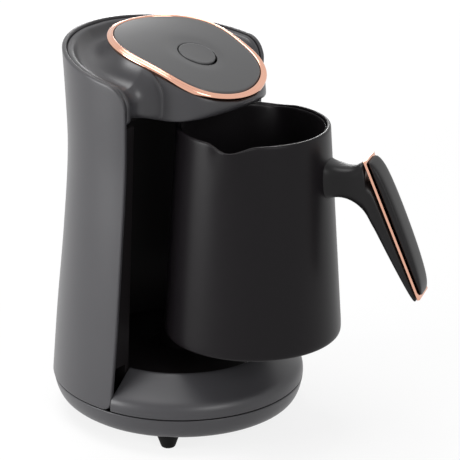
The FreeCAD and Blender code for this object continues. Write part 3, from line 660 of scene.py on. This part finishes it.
def rounded_bar(name, sections, power, around):
    """A bar through sections of an inner point, an outer point and half a width."""
    rows = len(sections) + 1

    def spot(turn_share, along):
        step = round(along * rows)
        inner, outer, half = sections[max(0, min(len(sections) - 1, step - 1))]
        centre = (Vector(inner) + Vector(outer)) / 2
        reach = (Vector(outer) - Vector(inner)) / 2
        turn = 2 * math.pi * (turn_share % 1.0)
        size = 0.0 if step in (0, rows) else 1.0
        side = math.copysign(abs(math.cos(turn)) ** (2 / power), math.cos(turn)) * size
        up = math.copysign(abs(math.sin(turn)) ** (2 / power), math.sin(turn)) * size
        place = centre + reach * up
        return half * side, -place.x, place.y

    return laid(name, around, rows, spot)


NECK = [((38.6, 76.0), (38.6, 99.6), 10.8), ((40.8, 77.6), (40.6, 98.2), 9.8),
        ((43.6, 79.0), (43.4, 97.0), 8.9), ((47.6, 79.7), (47.6, 96.4), 8.4),
        ((52.4, 79.0), (52.6, 96.6), 8.3), ((57.0, 76.6), (56.8, 98.4), 8.4),
        ((60.6, 73.2), (59.6, 100.9), 8.5), ((62.8, 70.0), grip_spot(4.5, -0.8), 8.5),
        ((64.0, 68.0), grip_spot(7, -2.3), 8.5), ((65.4, 65.6), grip_spot(11.5, -2.3), 8.5),
        ((66.6, 63.6), grip_spot(15, -0.35), 8.5), ((69.8, 57.8), grip_spot(26, -0.25), 8.4),
        ((74.6, 49.2), grip_spot(40, -0.25), 8.3), ((80.2, 39.6), grip_spot(56, -0.25), 8.1),
        ((85.2, 31.4), grip_spot(69, -0.25), 7.8), ((87.8, 27.9), grip_spot(76, -0.25), 7.2),
        ((88.6, 27.4), grip_spot(77.6, -0.6), 6.0)]
neck = rounded_bar("handle_neck", NECK, 3.2, 20)
worked(neck, "SUBSURF", levels=2, render_levels=2)
neck.data.transform(jug_place)
finished(neck, handle_plastic, "jug", "handle_body")


# The copper band is a flat plated strip on the leg's outer face, held to it by two screws. It stands
# a little proud of the black parts, so that its edge shows as a thin bright line between them.
BAND = 1.6
BAND_HALF = 9.1
BAND_EDGE = 0.25
BAND_RUNS = (0.0, 0.4, 6, 16, 28, 40, 52, 64, 74, grip_length - 0.4, grip_length)
STRIP = [(grip_spot(run, 0.0), grip_spot(run, BAND), BAND_HALF) for run in BAND_RUNS]
strip = rounded_bar("handle_strip", STRIP, 9, 24)
worked(strip, "BEVEL", width=BAND_EDGE * MM, segments=2, limit_method="ANGLE",
       angle_limit=math.radians(50))
strip.data.transform(jug_place)
finished(strip, rose_copper, "jug", "handle_band")


# The outer grip is a cover in the handle's black plastic over the copper band, fullest in its middle
# and thinner towards both ends. The CAD's has pockets behind for the heads of the band's screws.
COVER_GAP = 0.1
GRIP = [(1.5, 0.6, 6.5), (2.4, 1.9, 7.6), (5, 3.3, 8.3), (10, 4.5, 8.5), (18, 5.0, 8.5), (28, 5.2, 8.5),
        (42, 5.0, 8.5), (56, 4.4, 8.4), (67, 3.4, 8.1), (73, 2.2, 7.6), (76.4, 0.6, 6.6)]
COVER = [(grip_spot(run, BAND + COVER_GAP), grip_spot(run, BAND + COVER_GAP + rise), half)
         for run, rise, half in GRIP]
cover = rounded_bar("handle_cover", COVER, 3.6, 20)
worked(cover, "SUBSURF", levels=2, render_levels=2)
cover.data.transform(jug_place)
finished(cover, handle_plastic, "jug", "handle_grip")


# The inner parts are the CAD's own: green circuit boards, black moulded components, white nylon
# pieces, steel screws and heating parts, brass contacts and a red sheath over the leads.
circuit_board = moulded("circuit_board", (0.01, 0.09, 0.035), 0.4, 0.5, grain=0.8, edge=0.2)
coat(circuit_board, "power_board", "control_board", "sensor_board")
part_black = moulded("part_black", (0.02, 0.02, 0.02), 0.4, 0.4, edge=0.3)
coat(part_black, "relay", "filter_capacitor", "tact_switch", "switch_plunger", "buzzer", "thermostat",
     "board_posts")
white_nylon = moulded("white_nylon", (0.75, 0.75, 0.73), 0.4, 0.5, edge=0.3)
coat(white_nylon, "terminal_block", "light_guide", "indicator_leds", "mains_fuse", "sensor_lens")
bright_steel = plated("bright_steel", (0.6, 0.6, 0.62), 0.3)
coat(bright_steel, "board_screws", "case_screws", "handle_screws", "heating_element", "heater_plate",
     "thermal_fuse")
contact_brass = plated("contact_brass", (0.8, 0.6, 0.28), 0.25)
coat(contact_brass, "connector_contacts")
lead_sheath = moulded("lead_sheath", (0.3, 0.02, 0.02), 0.5, 0.4)
coat(lead_sheath, "wiring_harness")


# The floor is a plain matt white sheet. It takes the object's shadow, and rays that see it directly
# find it mixed with an even white, so that it runs into the background.
WHITE = (1.0, 1.0, 1.0, 1.0)
FLOOR_SIZE = 6
FLOOR_WHITE = 0.82


def seen_directly(tree):
    """1 for camera, glossy and transmission rays, and 0 for the rays that carry light."""
    rays = tree.nodes.new("ShaderNodeLightPath")
    either = rays.outputs["Is Camera Ray"]
    for kind in ("Is Glossy Ray", "Is Transmission Ray"):
        larger = tree.nodes.new("ShaderNodeMath")
        larger.operation = "MAXIMUM"
        tree.links.new(either, larger.inputs[0])
        tree.links.new(rays.outputs[kind], larger.inputs[1])
        either = larger.outputs[0]
    return either


bpy.ops.object.select_all(action="DESELECT")
bpy.ops.mesh.primitive_plane_add(size=FLOOR_SIZE, location=(0, 0, 0))
floor = bpy.context.object
floor.name = "floor"
floor_paint = Finish("floor_paint", Base_Color=WHITE, Roughness=0.9, Specular_IOR_Level=0.0)
seen_by = Value(floor_paint, seen_directly(floor_paint.tree))
glow = floor_paint.node("ShaderNodeEmission", values={"Color": WHITE, "Strength": 1.0})
mixed = floor_paint.node("ShaderNodeMixShader", values={
    0: seen_by * FLOOR_WHITE, 1: Value(floor_paint, floor_paint.shader.outputs[0]), 2: glow})
floor_paint.join(mixed, floor_paint.tree.nodes["Material Output"].inputs["Surface"])
floor.data.materials.append(floor_paint.material)


# The studio is a white room that lights the object weakly and is seen as pure white, with four soft
# boxes: beside the shell on the left, low on the right behind, overhead, and in front.
ROOM_LIGHT = 0.3
ROOM_SEEN = 1.0
LAMPS_AIM = (0, 0, 0.1)
SOFTBOXES = {
    "left_softbox": ((-0.70, 0.47, 0.22), (0.42, 0.42), 5.6),
    "rear_softbox": ((0.95, 0.72, 0.22), (0.4, 0.4), 4.5),
    "top_softbox": ((-0.10, 0.30, 1.40), (0.8, 0.8), 11.0),
    "front_softbox": ((-0.5, -1.3, 0.7), (0.6, 0.6), 7.0),
}
world = bpy.data.worlds.new("studio")
bpy.context.scene.world = world
world.use_nodes = True
air = world.node_tree
lit = air.nodes["Background"]
lit.inputs["Color"].default_value = WHITE
lit.inputs["Strength"].default_value = ROOM_LIGHT
seen = air.nodes.new("ShaderNodeBackground")
seen.inputs["Color"].default_value = WHITE
seen.inputs["Strength"].default_value = ROOM_SEEN
room = air.nodes.new("ShaderNodeMixShader")
air.links.new(seen_directly(air), room.inputs[0])
air.links.new(lit.outputs[0], room.inputs[1])
air.links.new(seen.outputs[0], room.inputs[2])
air.links.new(room.outputs[0], air.nodes["World Output"].inputs["Surface"])

for name, (spot, (width, height), power) in SOFTBOXES.items():
    lamp = bpy.data.lights.new(name, "AREA")
    lamp.shape = "RECTANGLE"
    lamp.size = width
    lamp.size_y = height
    lamp.energy = power
    holder = bpy.data.objects.new(name, lamp)
    holder.location = spot
    holder.rotation_euler = (Vector(LAMPS_AIM) - Vector(spot)).to_track_quat("-Z", "Y").to_euler()
    bpy.context.scene.collection.objects.link(holder)


# The camera stands to the front left, a little above the head, with a long lens, where the
# photograph was taken from.
EYE = Vector((-0.90382, -0.71571, 0.52991))
AZIMUTH = math.radians(-52.9215)
ELEVATION = math.radians(20.3581)
LENS = 180
SENSOR = 36
FAR_CLIP = 20
back = Vector((math.sin(AZIMUTH) * math.cos(ELEVATION), -math.cos(AZIMUTH) * math.cos(ELEVATION),
               math.sin(ELEVATION)))
eye = bpy.data.cameras.new("eye")
eye.sensor_width = SENSOR
eye.lens = LENS
eye.clip_end = FAR_CLIP
camera = bpy.data.objects.new("camera", eye)
camera.location = EYE
camera.rotation_mode = "QUATERNION"
camera.rotation_quaternion = (-back).to_track_quat("-Z", "Y")
bpy.context.scene.collection.objects.link(camera)
bpy.context.scene.camera = camera
bpy.context.scene.view_settings.view_transform = "Standard"
